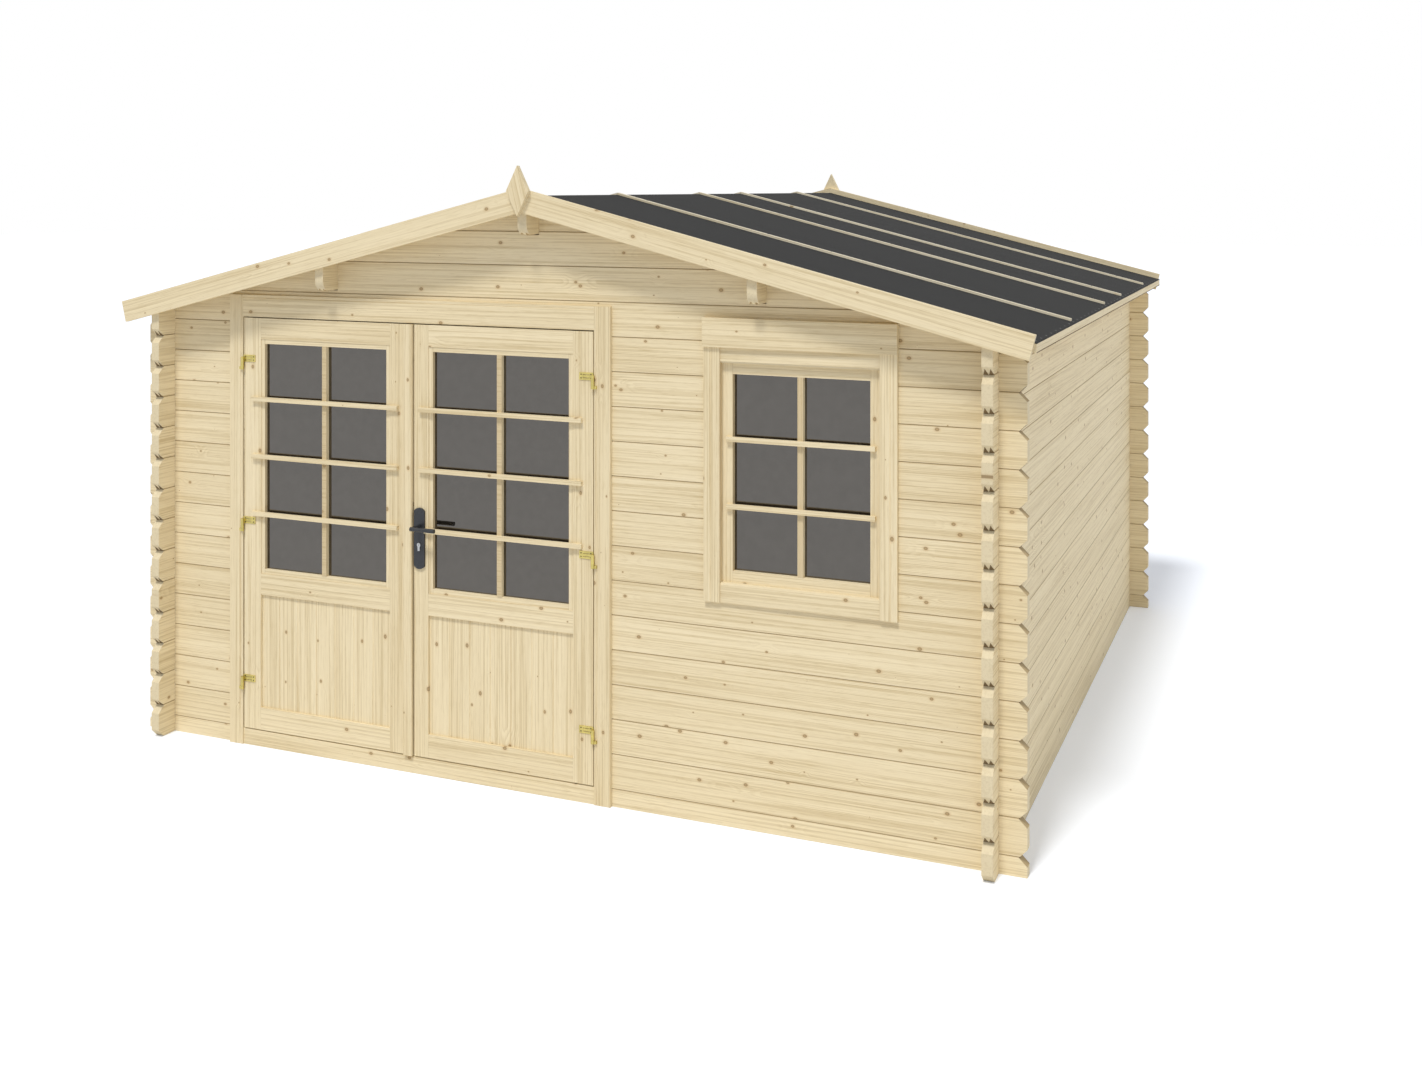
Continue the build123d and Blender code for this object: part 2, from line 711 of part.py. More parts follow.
for word, leaf in leaves.items():
    side = leaf["side"]
    hinge_inner = leaf["hinge_x"] + side * hinge_stile_width
    meeting_inner = leaf["meeting_x"] - side * leaf["meeting_stile"]
    rail_range = sorted((hinge_inner + side * joint_gap, meeting_inner - side * joint_gap))
    depth_range = (leaf_front, leaf_back)
    with BuildPart() as leaf_frame:
        block(sorted((leaf["hinge_x"], hinge_inner)), depth_range, (leaf_bottom, leaf_top))
        block(sorted((meeting_inner, leaf["meeting_x"])), depth_range, (leaf_bottom, leaf_top))
        block(rail_range, depth_range, (leaf_bottom, panel_bottom))
        block(rail_range, depth_range, (panel_top, glazing_bottom))
        block(rail_range, depth_range, (glazing_top, leaf_top))
        if word == "right":
            with BuildSketch(Plane.XZ.offset(-leaf_back)):
                with Locations((plate_centre, lever_height)):
                    RegularPolygon(spindle_hole_diameter / 2, round_sides)
                with Locations((plate_centre, lock_centre_z)):
                    add(lock_hole_sketch)
            extrude(amount=leaf_thickness, mode=Mode.SUBTRACT)
    write_piece(leaf_frame, word + "_door_frame")

    # Panel of upright boards with grooves between them
    panel_left, panel_right = rail_range
    panel_front = leaf_front + panel_setback
    with BuildPart() as panel:
        block(
            (panel_left + joint_gap, panel_right - joint_gap),
            (panel_front, panel_front + panel_thickness),
            (panel_bottom + joint_gap, panel_top - joint_gap),
        )
        groove_count = math.floor((panel_right - panel_left) / panel_board_pitch)
        with BuildSketch(Plane.XY.offset(panel_bottom)):
            with Locations(((panel_left + panel_right) / 2, panel_front)):
                with GridLocations(panel_board_pitch, 1, groove_count, 1):
                    Rectangle(
                        panel_groove_width / math.sqrt(2),
                        panel_groove_width / math.sqrt(2),
                        rotation=45,
                    )
        extrude(amount=panel_height, mode=Mode.SUBTRACT)
    write_piece(panel, word + "_door_panel")

    # Glass pane, held by a frame of beads on both faces
    glass_left = panel_left + bead_width
    glass_right = panel_right - bead_width
    glass_bottom = glazing_bottom + bead_width
    glass_top = glazing_top - bead_width
    glass_lap = bead_width / 2
    with BuildPart() as glass:
        block(
            (glass_left - glass_lap, glass_right + glass_lap),
            (glass_front, glass_back),
            (glass_bottom - glass_lap, glass_top + glass_lap),
        )
    write_piece(glass, word + "_door_glass")

    with BuildPart() as beads:
        block(
            (panel_left + joint_gap, panel_right - joint_gap),
            (leaf_front + bead_setback, leaf_back - bead_setback),
            (glazing_bottom + joint_gap, glazing_top - joint_gap),
        )
        block(
            (glass_left, glass_right),
            (leaf_front, leaf_back),
            (glass_bottom, glass_top),
            mode=Mode.SUBTRACT,
        )
        block(
            (glass_left - glass_lap - joint_gap, glass_right + glass_lap + joint_gap),
            (glass_front - joint_gap, glass_back + joint_gap),
            (glass_bottom - glass_lap - joint_gap, glass_top + glass_lap + joint_gap),
            mode=Mode.SUBTRACT,
        )
    write_piece(beads, word + "_door_beads")

    # Glazing bars: an upright one on the glass, level ones over it and over the stiles
    heights = bar_heights(glass_bottom, glass_top, pane_rows)
    glass_centre = (glass_left + glass_right) / 2
    with BuildPart() as bars:
        for z in heights:
            low_x = glass_left - bar_overlap
            high_x = glass_right + bar_overlap
            if word == "right" and z < handle_plate_centre_z + handle_plate_height / 2:
                low_x = max(low_x, plate_right + bar_plate_gap)
            block(
                (low_x, high_x),
                (leaf_front - bar_thickness, leaf_front),
                (z - bar_width / 2, z + bar_width / 2),
            )
        block(
            (glass_centre - upright_bar_width / 2, glass_centre + upright_bar_width / 2),
            (leaf_front, glass_front - joint_gap),
            (glass_bottom + joint_gap, glass_top - joint_gap),
        )
    write_piece(bars, word + "_door_bars")

    # Leaf half of the hinges: a plate on the leaf, pierced along its arm, and a barrel over the gap
    pin_x = leaf["pin_x"]
    plate_end = pin_x + side * hinge_plate_length
    slot_near = pin_x + side * barrel_diameter
    with BuildPart() as hinge_leaves:
        for z in hinge_heights:
            plate_top = z + hinge_plate_height / 2
            block(
                sorted((pin_x, plate_end)),
                (leaf_front - hinge_plate_thickness, leaf_front),
                (z - hinge_plate_height / 2, plate_top),
            )
            block(
                sorted((pin_x, pin_x + side * barrel_diameter / 2)),
                (axis_y, leaf_front),
                (z - hinge_plate_height / 2, plate_top - barrel_drop),
            )
            for slot_z in (z - hinge_slot_spacing / 2, z + hinge_slot_spacing / 2):
                block(
                    sorted((slot_near, slot_near + side * hinge_slot_length)),
                    (leaf_front - hinge_plate_thickness, leaf_front),
                    (slot_z - hinge_slot_height / 2, slot_z + hinge_slot_height / 2),
                    mode=Mode.SUBTRACT,
                )
            with BuildSketch(Plane.XY.offset(plate_top - barrel_drop)) as barrel:
                with Locations((pin_x, axis_y)):
                    RegularPolygon(barrel_diameter / 2, round_sides)
            extrude(barrel.sketch, amount=-barrel_length)
            with BuildSketch(Plane.XY.offset(plate_top - barrel_drop)) as pin_hole:
                with Locations((pin_x, axis_y)):
                    RegularPolygon(pin_diameter / 2 + pin_clearance, round_sides, major_radius=False)
            extrude(pin_hole.sketch, amount=-barrel_length, mode=Mode.SUBTRACT)
    write_piece(hinge_leaves, word + "_door_hinges")

    # Frame half: a pin that stands in a foot on the post
    with BuildPart() as frame_pins:
        for z in hinge_heights:
            foot_top = z + hinge_plate_height / 2 - barrel_drop - barrel_length - barrel_clearance
            with BuildSketch(Plane.XY.offset(foot_top)) as pin:
                with Locations((pin_x, axis_y)):
                    RegularPolygon(pin_diameter / 2, round_sides)
            extrude(pin.sketch, amount=barrel_length + barrel_clearance)
            with BuildSketch(Plane.XY.offset(foot_top)) as foot:
                with Locations((pin_x, axis_y)):
                    RegularPolygon(barrel_diameter / 2, round_sides)
            extrude(foot.sketch, amount=-hinge_foot_height)
            block(
                sorted((pin_x, pin_x - side * hinge_foot_length)),
                (axis_y, casing_front),
                (foot_top - hinge_foot_height, foot_top),
            )
    frame_pin_parts.append(frame_pins.part)

with BuildPart() as hinge_pins:
    add(frame_pin_parts)
write_piece(hinge_pins, "door_hinge_pins")

# Strip that closes the gap between the leaves, fixed to the left one
with BuildPart() as meeting_strip:
    block(
        (leaves["left"]["meeting_x"] - meeting_strip_width, leaves["left"]["meeting_x"]),
        (leaf_front - meeting_strip_thickness, leaf_front),
        (leaf_bottom, leaf_top),
    )
    chamfer(meeting_strip.edges().filter_by(Axis.Z).group_by(Axis.Y)[0], edge_chamfer)
write_piece(meeting_strip, "left_door_meeting_strip")

# Handle plates on both faces of the right leaf
with BuildPart() as handle_plates:
    for y in (leaf_front, leaf_back + handle_plate_thickness):
        with BuildSketch(Plane.XZ.offset(-y)):
            with Locations((plate_centre, 0)):
                add(handle_sketch)
        extrude(amount=handle_plate_thickness)
write_piece(handle_plates, "right_door_handle_plates")

with BuildPart() as lock_cylinder:
    with BuildSketch(Plane.XZ.offset(-(leaf_back + handle_plate_thickness + lock_reach))):
        with Locations((plate_centre, lock_centre_z)):
            add(lock_sketch)
    extrude(amount=leaf_thickness + 2 * (handle_plate_thickness + lock_reach))
write_piece(lock_cylinder, "right_door_lock_cylinder")

# Lever handles, one on each face, on a square spindle through the leaf
lever_left = plate_centre - lever_diameter / 2
lever_right = plate_centre + lever_length
lever_faces = (
    (leaf_front - handle_plate_thickness, -lever_neck_reach),
    (leaf_back + handle_plate_thickness, lever_neck_reach),
)
with BuildPart() as lever:
    with Locations((plate_centre, (leaf_front + leaf_back) / 2, lever_height)):
        Box(spindle_width, leaf_thickness + 2 * handle_plate_thickness, spindle_width)
    for neck_start, neck_reach in lever_faces:
        with BuildSketch(Plane.XZ.offset(-neck_start)) as neck:
            with Locations((plate_centre, lever_height)):
                RegularPolygon(lever_diameter / 2, round_sides)
        extrude(neck.sketch, amount=-neck_reach)
        with BuildSketch(Plane.YZ.offset(lever_left)) as grip:
            with Locations((neck_start + neck_reach, lever_height)):
                RegularPolygon(lever_diameter / 2, round_sides)
        extrude(grip.sketch, amount=lever_right - lever_left)
write_piece(lever, "door_lever")

# Window frame, astride the logs like the door frame: side boards with a moulding line,
# and between them a head and a foot board set a little back, bevelled towards the sash
window_bottom = window_cut_bottom + window_sill_rise
window_casing_top = window_cut_top - window_top_gap
window_top = window_casing_top - window_head_casing_height
window_casing_bottom = window_cut_bottom - window_casing_lap
casing_left = window_left - window_casing_width
casing_right = window_right + window_casing_width
wall_slot = (casing_front + casing_thickness, front_inside + frame_clearance)
casing_range = (window_casing_bottom, window_casing_top)
with BuildPart() as window_frame:
    block((casing_left, casing_right), (casing_front, casing_back), casing_range)
    block(
        (window_left, window_right),
        (casing_front, casing_back),
        (window_bottom, window_top),
        mode=Mode.SUBTRACT,
    )
    block(
        (casing_left, window_cut_left + frame_clearance),
        wall_slot,
        casing_range,
        mode=Mode.SUBTRACT,
    )
    block(
        (window_cut_right - frame_clearance, casing_right),
        wall_slot,
        casing_range,
        mode=Mode.SUBTRACT,
    )
    block(
        (casing_left, casing_right),
        wall_slot,
        (window_casing_bottom, window_cut_bottom + frame_clearance),
        mode=Mode.SUBTRACT,
    )
    block(
        (casing_left, casing_right),
        wall_slot,
        (window_top + window_jamb_thickness, window_casing_top),
        mode=Mode.SUBTRACT,
    )
    for rail_range in ((window_top, window_casing_top), (window_casing_bottom, window_bottom)):
        block(
            (window_left, window_right),
            (casing_front, casing_front + window_rail_setback),
            rail_range,
            mode=Mode.SUBTRACT,
        )
    rail_edges = window_frame.edges().filter_by(Axis.X)
    rail_front = casing_front + window_rail_setback
    chamfer(
        rail_edges.filter_by_position(Axis.Y, rail_front - joint_gap, rail_front + joint_gap)
        .filter_by_position(Axis.Z, window_bottom - joint_gap, window_top + joint_gap),
        window_rail_bevel,
    )
    with BuildSketch(Plane.XY.offset(window_casing_bottom)) as side_grooves:
        with Locations(
            (casing_left + window_groove_place, casing_front),
            (casing_right - window_groove_place, casing_front),
        ):
            Rectangle(
                casing_groove_width / math.sqrt(2), casing_groove_width / math.sqrt(2), rotation=45
            )
    extrude(
        side_grooves.sketch,
        amount=window_casing_top - window_casing_bottom,
        mode=Mode.SUBTRACT,
    )
write_piece(window_frame, "window_frame")

with BuildPart() as window_headers:
    for y_range in (
        (front_face - frame_clearance - header_thickness, front_face - frame_clearance),
        (front_inside + frame_clearance, front_inside + frame_clearance + header_thickness),
    ):
        block(
            (casing_left - header_overlap, casing_right + header_overlap),
            y_range,
            (window_casing_top + joint_gap, window_casing_top + header_height),
        )
write_piece(window_headers, "window_header_boards")

# Window sash with its pane and bars
sash_left = window_left + sash_gap
sash_right = window_right - sash_gap
sash_bottom = window_bottom + sash_gap
sash_top = window_top - sash_gap
sash_front = front_face + sash_setback
sash_back = sash_front + sash_thickness
pane_front = sash_front + window_glass_depth
pane_back = pane_front + glass_thickness
pane_left = sash_left + sash_width
pane_right = sash_right - sash_width
pane_bottom = sash_bottom + sash_width
pane_top = sash_top - sash_width
with BuildPart() as window_sash:
    block((sash_left, sash_right), (sash_front, sash_back), (sash_bottom, sash_top))
    block((pane_left, pane_right), (sash_front, sash_back), (pane_bottom, pane_top), mode=Mode.SUBTRACT)
    block(
        (pane_left - pane_lap - joint_gap, pane_right + pane_lap + joint_gap),
        (pane_front - joint_gap, pane_back + joint_gap),
        (pane_bottom - pane_lap - joint_gap, pane_top + pane_lap + joint_gap),
        mode=Mode.SUBTRACT,
    )
write_piece(window_sash, "window_sash")

with BuildPart() as window_glass:
    block(
        (pane_left - pane_lap, pane_right + pane_lap),
        (pane_front, pane_back),
        (pane_bottom - pane_lap, pane_top + pane_lap),
    )
write_piece(window_glass, "window_glass")

with BuildPart() as window_bars:
    for z in bar_heights(pane_bottom, pane_top, window_pane_rows):
        block(
            (pane_left - window_bar_overlap, pane_right + window_bar_overlap),
            (sash_front - bar_thickness, sash_front),
            (z - bar_width / 2, z + bar_width / 2),
        )
    block(
        (window_centre_x - upright_bar_width / 2, window_centre_x + upright_bar_width / 2),
        (sash_front, pane_front - joint_gap),
        (pane_bottom + joint_gap, pane_top - joint_gap),
    )
write_piece(window_bars, "window_bars")
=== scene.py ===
import itertools
import json
import math
import random

import bmesh
import bpy
import numpy as np
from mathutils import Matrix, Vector


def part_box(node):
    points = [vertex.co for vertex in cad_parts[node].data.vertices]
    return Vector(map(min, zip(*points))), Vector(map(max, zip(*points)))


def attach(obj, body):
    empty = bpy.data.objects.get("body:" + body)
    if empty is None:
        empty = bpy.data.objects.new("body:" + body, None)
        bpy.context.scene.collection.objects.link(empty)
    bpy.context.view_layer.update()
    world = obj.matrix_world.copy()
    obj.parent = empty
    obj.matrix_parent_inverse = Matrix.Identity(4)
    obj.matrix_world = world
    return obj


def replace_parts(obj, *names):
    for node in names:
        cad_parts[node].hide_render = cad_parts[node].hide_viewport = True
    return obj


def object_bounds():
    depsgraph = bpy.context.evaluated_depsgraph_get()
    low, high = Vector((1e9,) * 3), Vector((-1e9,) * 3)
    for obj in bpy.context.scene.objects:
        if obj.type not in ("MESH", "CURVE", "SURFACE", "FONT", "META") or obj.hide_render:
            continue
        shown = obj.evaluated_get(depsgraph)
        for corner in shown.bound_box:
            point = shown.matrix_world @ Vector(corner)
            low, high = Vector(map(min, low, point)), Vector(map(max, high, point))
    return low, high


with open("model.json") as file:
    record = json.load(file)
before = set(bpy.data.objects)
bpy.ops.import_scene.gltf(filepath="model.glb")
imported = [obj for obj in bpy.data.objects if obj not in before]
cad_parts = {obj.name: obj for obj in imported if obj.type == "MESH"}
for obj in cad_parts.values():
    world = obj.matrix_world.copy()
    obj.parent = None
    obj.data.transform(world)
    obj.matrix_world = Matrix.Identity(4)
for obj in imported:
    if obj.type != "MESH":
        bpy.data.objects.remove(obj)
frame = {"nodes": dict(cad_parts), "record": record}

# Looks of the log shed: planed pine, mineral felt, dark glass, plated hinges and a black handle.
# Metres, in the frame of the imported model: X to the right along the front, Y to the back, Z up.

cad_low, cad_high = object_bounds()
nodes = frame["nodes"]

# Camera, worked out from the log joints in the photograph
PHOTO_WIDTH = 1422
PHOTO_HEIGHT = 1066
FOCAL_PIXELS = 1509.3
HORIZON_ROW = 188.0
CAMERA_PLACE = (2.9375, -7.1232, 2.4027)
CAMERA_TURN = math.radians(22.449)
SENSOR_WIDTH = 36.0

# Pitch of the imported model's roof, and the places of its battens from front to back
ROOF_PITCH = math.radians(14)
BATTEN_ROWS = (-1.090, -0.160, 0.410, 1.320)


def srgb(red, green, blue):
    """A colour given as it shows on screen, 0 to 255, as linear values."""
    shares = [value / 255 for value in (red, green, blue)]
    return tuple(s / 12.92 if s <= 0.04045 else ((s + 0.055) / 1.055) ** 2.4 for s in shares) + (1.0,)


# Colours
PINE_LIGHT = srgb(245, 230, 195)
PINE_DARK = srgb(212, 192, 150)
PINE_KNOT = srgb(142, 116, 80)
PINE_HALO = srgb(214, 184, 136)
PALE_LIGHT = srgb(240, 231, 208)
PALE_DARK = srgb(212, 197, 164)
# Brown of the dark seams in frames, and of the painted shade in the log joints
JOINT_AND_SHADE_BROWN = srgb(192, 169, 128)
# Painted shade in the mouths of the log grooves and under the eave boards
SHADE_BROWN = srgb(124, 103, 70)
FELT_DARK = srgb(16, 16, 16)
FELT_LIGHT = srgb(36, 36, 35)
BRASS = srgb(214, 196, 118)
HANDLE_BLACK = srgb(44, 46, 50)
STEEL = srgb(190, 190, 188)
GLASS_TINT = srgb(92, 88, 82)
GLASS_BODY = srgb(34, 31, 27)
GLASS_SHEEN = (1.0, 0.92, 0.81, 1.0)
SCREW_AND_KEYHOLE_BROWN = srgb(96, 84, 52)
NAIL_GREY = srgb(84, 84, 83)
WHITE = (1.0, 1.0, 1.0, 1.0)


# Shader building

class Shader:
    """A material or sky being built: each call adds one node and returns its output."""

    def __init__(self, owner, kind="OutputMaterial"):
        self.owner = owner
        self.owner.use_nodes = True
        self.tree = self.owner.node_tree
        self.tree.nodes.clear()
        self.output = self.tree.nodes.new("ShaderNode" + kind)

    def add(self, kind, inputs=None, output=0, **settings):
        """Adds one node, with sockets linked and plain values set."""
        node = self.tree.nodes.new("ShaderNode" + kind)
        for key, value in settings.items():
            setattr(node, key, value)
        for key, value in (inputs or {}).items():
            if isinstance(value, bpy.types.NodeSocket):
                self.tree.links.new(value, node.inputs[key])
            else:
                node.inputs[key].default_value = value
        return node.outputs[output]

    def math(self, operation, first, second=0.0, third=0.0):
        """Sum, product or comparison of up to three values."""
        return self.add("Math", {0: first, 1: second, 2: third}, operation=operation)

    def scaled(self, vector, scale):
        """A place stretched by its own share along each axis."""
        return self.add("VectorMath", {0: vector, 1: scale}, operation="MULTIPLY")

    def noise(self, vector, scale, detail=2.0, roughness=0.5):
        """Soft random values round one half."""
        settings = {"Vector": vector, "Scale": scale, "Detail": detail, "Roughness": roughness}
        return self.add("TexNoise", settings)

    def spread(self, value, low, high, to_low=0.0, to_high=1.0):
        """A value eased from one range into another."""
        ranges = {"Value": value, "From Min": low, "From Max": high, "To Min": to_low, "To Max": to_high}
        return self.add("MapRange", ranges, interpolation_type="SMOOTHSTEP")

    def mix(self, factor, first, second, blend="MIX"):
        """Two colours blended by a share."""
        colours = {0: factor, 6: first, 7: second}
        return self.add("Mix", colours, output=2, data_type="RGBA", blend_type=blend)

    def finish(self, surface):
        """Links the last node to the output."""
        self.tree.links.new(surface, self.output.inputs["Surface"])
        return self.owner


def new_material(name):
    """An empty material, ready for its nodes."""
    return Shader(bpy.data.materials.new(name))


# Wood: knots and growth rings to the metre, and how deep behind the face the pith lies
KNOTS_PER_METRE = 7.0
KNOT_STRETCH = (0.75, 1.0, 1.0)
KNOTS_LEFT_OUT = 0.22
RINGS_PER_METRE = 210.0
PITH_DEPTH = 0.045

# Streaks: scale along and across the grain, roughness, where they begin and are full, strength
STREAKS = (
    (0.7, 22.0, 0.55, 0.3, 0.7, 0.16),
    (1.1, 120.0, 0.6, 0.46, 0.64, 0.5),
    (14.0, 240.0, 0.65, 0.5, 0.72, 0.3),
)


def pine(name, light, dark):
    """Planed pine: fine straight grain, soft growth rings and small knots that bend them."""
    s = new_material(name)
    upright = s.add("Attribute", output="Vector", attribute_name="grain")
    tone = s.add("Attribute", output="Fac", attribute_name="tone")
    end = s.add("Attribute", output="Fac", attribute_name="end_grain")
    joint_shade = s.add("Attribute", output="Fac", attribute_name="joint_shade")

    # Rails of a frame: inside the box where they lie, the grain runs the other way
    level = s.add("Attribute", output="Vector", attribute_name="level")
    sides = s.add("SeparateXYZ", {0: s.add("VectorMath", {0: level}, operation="ABSOLUTE")}).node
    wider = s.math("MAXIMUM", sides.outputs[0], sides.outputs[1])
    furthest = s.math("MAXIMUM", wider, sides.outputs[2])
    across_frame = s.math("LESS_THAN", furthest, 1.0)
    parts = s.add("SeparateXYZ", {0: upright}).node
    turned_grain = s.add("CombineXYZ", {0: parts.outputs[1], 1: parts.outputs[0], 2: parts.outputs[2]})
    grain = s.add("Mix", {0: across_frame, 4: upright, 5: turned_grain}, output=1, data_type="VECTOR")
    seam = s.spread(s.math("ABSOLUTE", s.math("SUBTRACT", furthest, 1.0)), 0.004, 0.002)

    # Knots: one in each cell of a jittered grid on the board's face, some of them left out
    cell = s.add(
        "TexVoronoi",
        {"Vector": s.scaled(grain, KNOT_STRETCH), "Scale": KNOTS_PER_METRE},
        feature="F1",
        voronoi_dimensions="2D",
    ).node
    chance = s.add("SeparateColor", {0: cell.outputs["Color"]}).node
    size = s.spread(chance.outputs[0], 0.25, 1.0, 0.12, 1.0)
    present = s.math("GREATER_THAN", chance.outputs[0], KNOTS_LEFT_OUT)
    reach = s.math("DIVIDE", cell.outputs["Distance"], size)

    def knot_zone(outer, inner):
        return s.math("MULTIPLY", s.spread(reach, outer, inner), present)

    knot_core = knot_zone(0.058, 0.036)
    knot_heart = knot_zone(0.034, 0.014)
    knot_edge = knot_zone(0.11, 0.05)
    knot_pull = knot_zone(0.5, 0.06)

    # Growth rings round a pith outside the board, wandering along its length
    wander = s.noise(s.scaled(grain, (0.55, 2.5, 2.5)), 1.0, 1.0)
    split = s.add("SeparateXYZ", {0: grain}).node
    drift = s.math("MULTIPLY", s.math("SUBTRACT", wander, 0.5), 0.07)
    across = s.math("ADD", split.outputs[1], drift)
    depth = s.math("ADD", split.outputs[2], PITH_DEPTH)
    squares = s.math("ADD", s.math("MULTIPLY", across, across), s.math("MULTIPLY", depth, depth))
    radius = s.math("SQRT", squares)
    fibre_noise = s.noise(s.scaled(grain, (1.6, 60.0, 60.0)), 1.0, 3.0, 0.6)
    phase = s.math("MULTIPLY_ADD", radius, RINGS_PER_METRE, s.math("MULTIPLY", knot_pull, 1.7))
    phase = s.math("MULTIPLY_ADD", fibre_noise, 1.3, phase)
    ring = s.math("FRACT", phase)
    late_wood = s.math("MULTIPLY", s.spread(ring, 0.25, 0.9), s.spread(ring, 1.0, 0.92))

    # Streaks as wide as a finger and as a straw, short dashes and single fibres, fainter on end grain
    fine = s.noise(s.scaled(grain, (3.0, 380.0, 380.0)), 1.0, 2.0, 0.6)
    clarity = s.spread(s.noise(s.scaled(grain, (0.8, 6.0, 6.0)), 1.0, 1.0), 0.4, 0.75, 0.06, 0.4)
    streak = s.math("MULTIPLY_ADD", late_wood, clarity, 0.04)
    for scale_along, scale_across, roughness, begin, full, strength in STREAKS:
        stretched = s.scaled(grain, (scale_along, scale_across, scale_across))
        band = s.spread(s.noise(stretched, 1.0, 2.0, roughness), begin, full)
        streak = s.math("MULTIPLY_ADD", band, strength, streak)
    streak = s.math("MULTIPLY_ADD", s.math("SUBTRACT", fine, 0.5), 0.5, streak)
    streak = s.math("MULTIPLY_ADD", tone, 0.09, streak)
    streak = s.math("MULTIPLY", streak, s.math("MULTIPLY_ADD", end, -0.6, 1.0))
    colour = s.mix(streak, light, dark)
    colour = s.mix(s.math("MULTIPLY", knot_edge, 0.4), colour, PINE_HALO)
    colour = s.mix(s.math("MULTIPLY", knot_core, 0.75), colour, PINE_KNOT)
    colour = s.mix(s.math("MULTIPLY", knot_heart, 0.45), colour, PINE_HALO)
    colour = s.mix(s.math("MULTIPLY", seam, 0.5), colour, JOINT_AND_SHADE_BROWN)
    # Painted shade in the log joints: tongues, grooves and upward end bevels darkened to joint brown
    colour = s.mix(joint_shade, colour, JOINT_AND_SHADE_BROWN)
    shade = s.math("MULTIPLY_ADD", end, -0.13, 1.0)
    colour = s.mix(1.0, colour, s.add("CombineColor", {0: shade, 1: shade, 2: shade}), "MULTIPLY")

    height = s.math("MULTIPLY_ADD", late_wood, 0.4, s.math("MULTIPLY", fine, 0.6))
    bump = s.add("Bump", {"Strength": 0.2, "Distance": 0.0005, "Height": height})
    rough = s.spread(streak, 0.0, 1.0, 0.66, 0.54)
    surface = s.add(
        "BsdfPrincipled",
        {"Base Color": colour, "Roughness": rough, "Normal": bump, "Specular IOR Level": 0.2},
    )
    return s.finish(surface)


def felt():
    """Mineral felt: grey granules in black bitumen, with faint stains that run down the slope."""
    s = new_material("roof_felt")
    place = s.add("TexCoord", output="Object")
    grit = s.noise(place, 900.0, 2.0, 0.7)
    cloud = s.noise(place, 2.3, 3.0, 0.55)
    run = s.noise(s.scaled(place, (0.8, 9.0, 0.8)), 1.0, 3.0, 0.6)
    mixed = s.math("MULTIPLY_ADD", s.spread(grit, 0.3, 0.7), 0.55, s.math("MULTIPLY", cloud, 0.25))
    mixed = s.math("MULTIPLY_ADD", run, 0.2, mixed)
    colour = s.mix(mixed, FELT_DARK, FELT_LIGHT)
    bump = s.add("Bump", {"Strength": 0.5, "Distance": 0.001, "Height": grit})
    surface = s.add(
        "BsdfPrincipled",
        {"Base Color": colour, "Roughness": 0.92, "Normal": bump, "Specular IOR Level": 0.25},
    )
    return s.finish(surface)


def metal(name, colour, roughness, metallic, wear):
    """Hardware metal with fine brushing and uneven gloss."""
    s = new_material(name)
    place = s.add("TexCoord", output="Object")
    scuff = s.noise(s.scaled(place, (60.0, 60.0, 900.0)), 1.0, 3.0, 0.6)
    cloud = s.noise(place, 35.0, 3.0, 0.6)
    darker = tuple(channel * wear for channel in colour[:3]) + (1.0,)
    tint = s.mix(s.spread(cloud, 0.3, 0.75), colour, darker)
    gloss = s.spread(scuff, 0.2, 0.8, roughness - 0.06, roughness + 0.1)
    bump = s.add("Bump", {"Strength": 0.12, "Distance": 0.0003, "Height": scuff})
    inputs = {"Base Color": tint, "Roughness": gloss, "Metallic": metallic, "Normal": bump}
    return s.finish(s.add("BsdfPrincipled", inputs))


def glass():
    """Dark glass: a faint view of the room behind under an even reflection of the studio."""
    s = new_material("pane_glass")
    place = s.add("TexCoord", output="Object")
    ripple = s.noise(place, 5.0, 1.0)
    bump = s.add("Bump", {"Strength": 0.03, "Distance": 0.002, "Height": ripple})
    dust = s.noise(place, 30.0, 3.0, 0.6)
    through = s.add("BsdfTransparent", {"Color": GLASS_TINT})
    body = s.add("BsdfDiffuse", {"Color": GLASS_BODY})
    sheen = s.add("BsdfGlossy", {"Color": GLASS_SHEEN, "Roughness": 0.02, "Normal": bump})
    pane = s.add("MixShader", {0: 0.75, 1: through, 2: body})
    fresnel = s.add("Fresnel", {"IOR": 1.5, "Normal": bump})
    share = s.math("ADD", fresnel, s.spread(dust, 0.2, 0.8, 0.078, 0.088))
    return s.finish(s.add("MixShader", {0: share, 1: pane, 2: sheen}))


# Boards: their grain follows each solid's longest direction

def turned(angle):
    """Three axes square to each other, the first two turned in the plane of the gables."""
    along = (math.cos(angle), 0.0, math.sin(angle))
    upward = (-math.sin(angle), 0.0, math.cos(angle))
    return np.array((along, (0.0, 1.0, 0.0), upward))


BOARD_AXES = [turned(0.0), turned(ROOF_PITCH), turned(-ROOF_PITCH)]


def solids_of(mesh):
    """Vertex places, and the vertex numbers of each separate solid."""
    places = np.empty(len(mesh.vertices) * 3, np.float32)
    mesh.vertices.foreach_get("co", places)
    places = places.reshape(-1, 3)
    merged = np.unique(np.round(places, 5), axis=0, return_inverse=True)[1].reshape(-1)
    leader = list(range(merged.max() + 1))

    def lead(point):
        while leader[point] != point:
            leader[point] = leader[leader[point]]
            point = leader[point]
        return point

    for polygon in mesh.polygons:
        first = lead(merged[polygon.vertices[0]])
        for vertex in polygon.vertices:
            leader[lead(merged[vertex])] = first
    groups = {}
    for vertex, point in enumerate(merged):
        groups.setdefault(lead(point), []).append(vertex)
    return places, list(groups.values())


